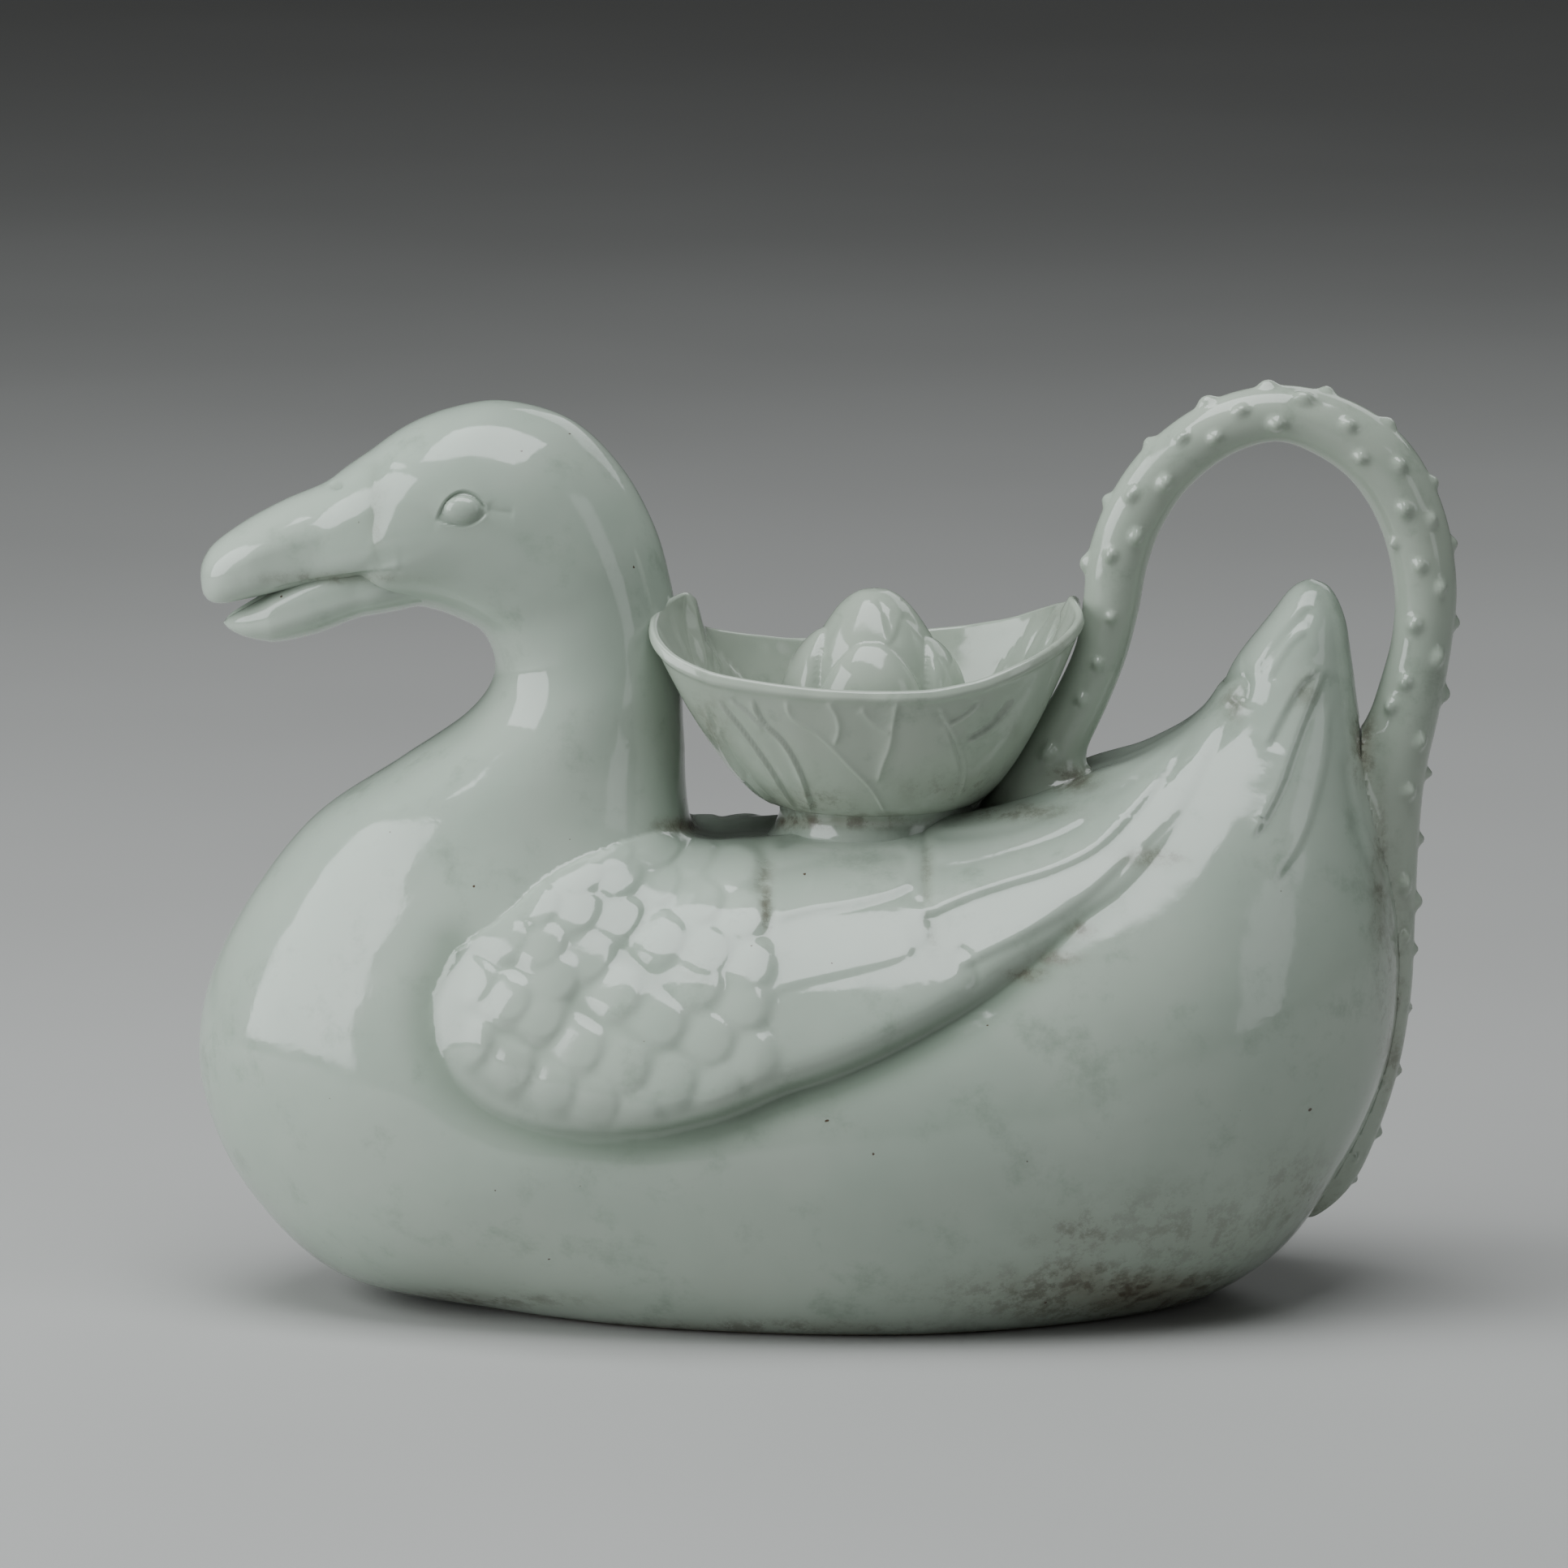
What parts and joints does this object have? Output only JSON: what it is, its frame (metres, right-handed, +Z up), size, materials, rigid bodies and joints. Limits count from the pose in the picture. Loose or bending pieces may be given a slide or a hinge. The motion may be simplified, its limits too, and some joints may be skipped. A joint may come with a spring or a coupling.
{
  "type": "duck-shaped porcelain ewer",
  "caption": "Glazed porcelain ewer shaped as a swimming duck, with a leaf-cup filler, bud stopper, thorny stem handle and open-bill spout.",
  "frame": {"origin": "centre of the bounding box, on the resting plane", "axes": "+X towards the tail and handle, the bill points along -X; +Y towards the duck's right side; +Z up"},
  "size_m": [0.2407, 0.1128, 0.1771],
  "materials": {
    "glazed_porcelain": "gloss",
    "leaf_glaze": "gloss",
    "bare_clay": "matte"
  },
  "bodies": {
    "ewer": {"base_slab": "bare_clay", "body_left_shell": "glazed_porcelain", "body_right_shell": "glazed_porcelain", "tail": "glazed_porcelain", "neck_tube": "glazed_porcelain", "head_shell": "glazed_porcelain", "lower_bill": "glazed_porcelain", "left_eye": "glazed_porcelain", "right_eye": "glazed_porcelain", "left_wing": "glazed_porcelain", "right_wing": "glazed_porcelain", "cup_foot_ring": "glazed_porcelain", "leaf_cup": "leaf_glaze", "handle_stem": "leaf_glaze"},
    "stopper": {"bud_core": "leaf_glaze", "bud_petal_1": "leaf_glaze", "bud_petal_2": "leaf_glaze", "bud_petal_3": "leaf_glaze", "bud_petal_4": "leaf_glaze", "bud_petal_5": "leaf_glaze", "bud_petal_6": "leaf_glaze", "stopper_plug": "bare_clay"}
  },
  "joints": [
    {"name": "stopper_lift", "type": "slide", "parent": "ewer", "child": "stopper", "axis": [0, 0, 1], "range_m": [0, 0.1]}
  ]
}
